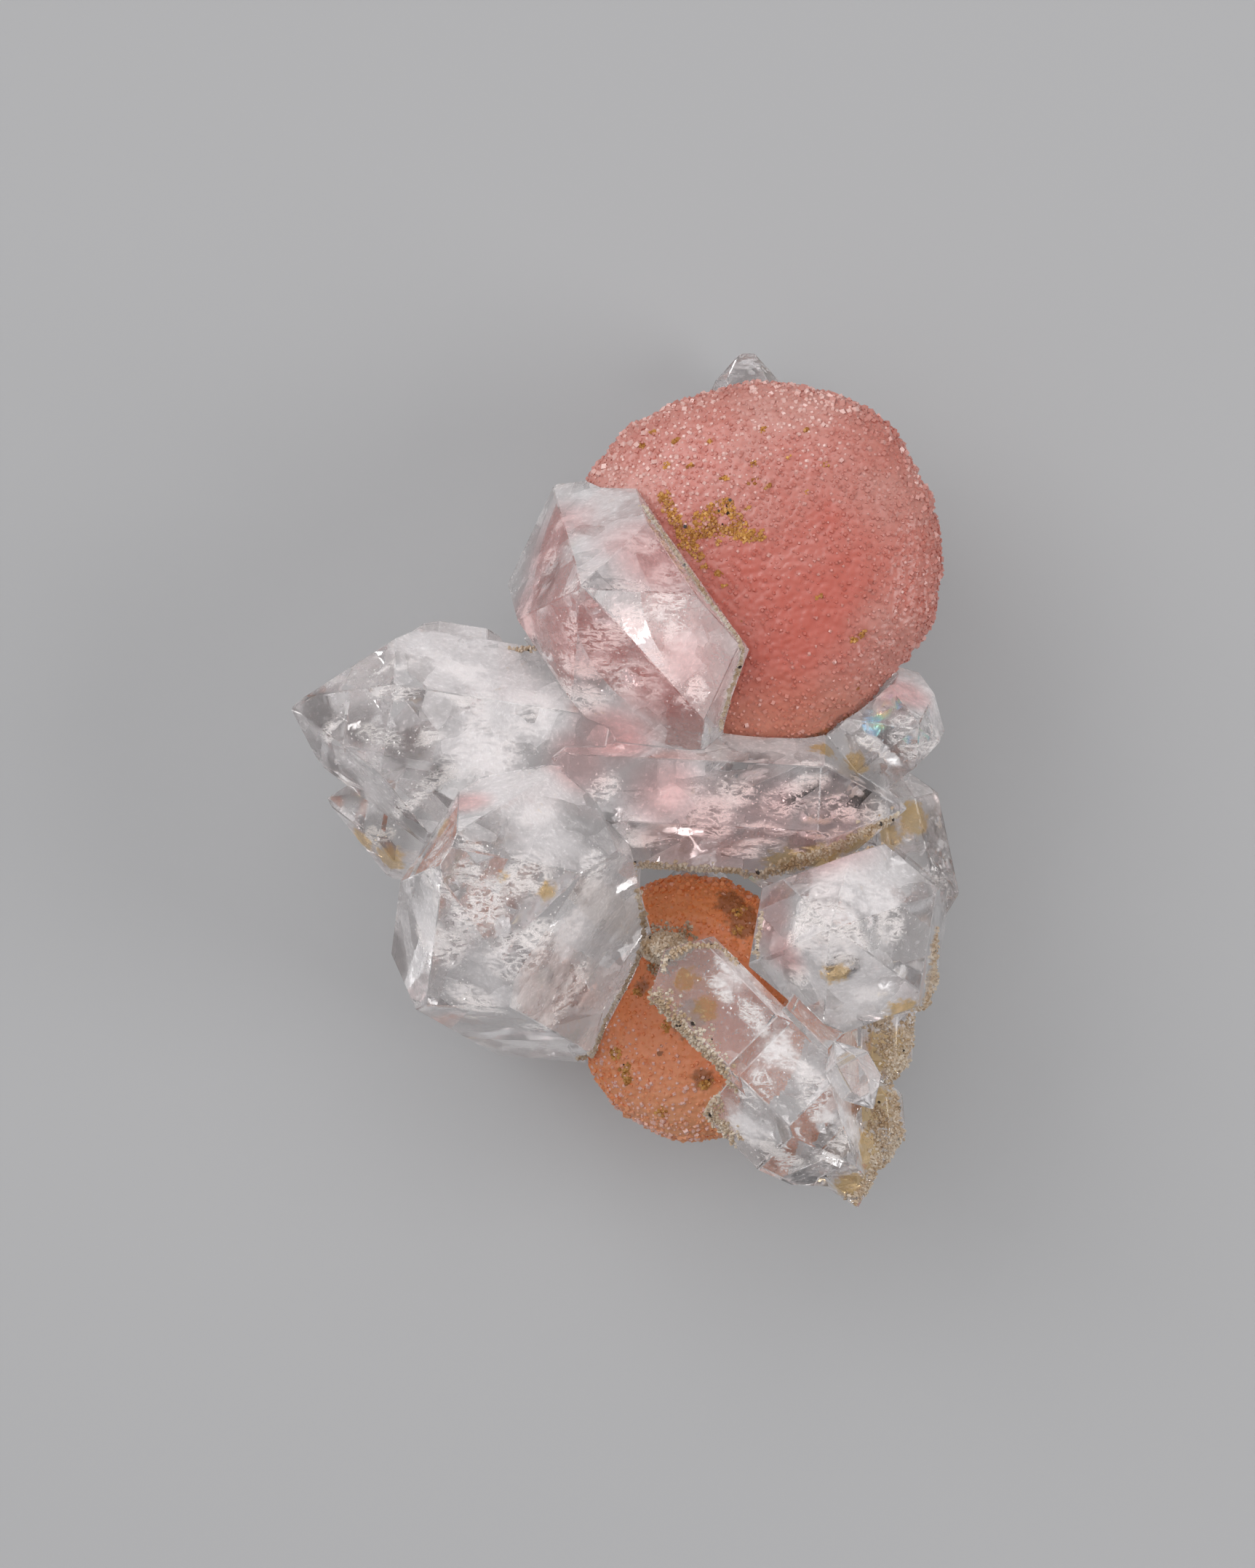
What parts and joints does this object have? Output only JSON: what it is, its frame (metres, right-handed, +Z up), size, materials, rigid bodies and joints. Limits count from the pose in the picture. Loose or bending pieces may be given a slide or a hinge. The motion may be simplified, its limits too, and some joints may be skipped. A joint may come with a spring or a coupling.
{
  "type": "quartz crystal cluster with pink mineral discs",
  "caption": "Cluster of clear and milky quartz crystals grown around pink druse-covered mineral discs, a natural mineral specimen that lies on its back.",
  "frame": {"origin": "on the surface that the specimen lies on, under the middle of its bounding box", "axes": "+Z up, away from the surface and towards the side that is looked at; +Y towards the specimen's top, where the small point shows above the large disc; +X to its right"},
  "size_m": [0.0554, 0.0714, 0.0359],
  "materials": {
    "quartz": "clear to milky white quartz with glassy faces, faintly lilac grey",
    "pink_disc_upper": "pink, finely crystalline sparkling skin",
    "pink_disc_lower": "orange pink, finely crystalline sparkling skin"
  },
  "bodies": {
    "root": {"quartz_cluster": "quartz", "pink_disc_upper": "pink_disc_upper", "pink_disc_lower": "pink_disc_lower"}
  },
  "joints": []
}
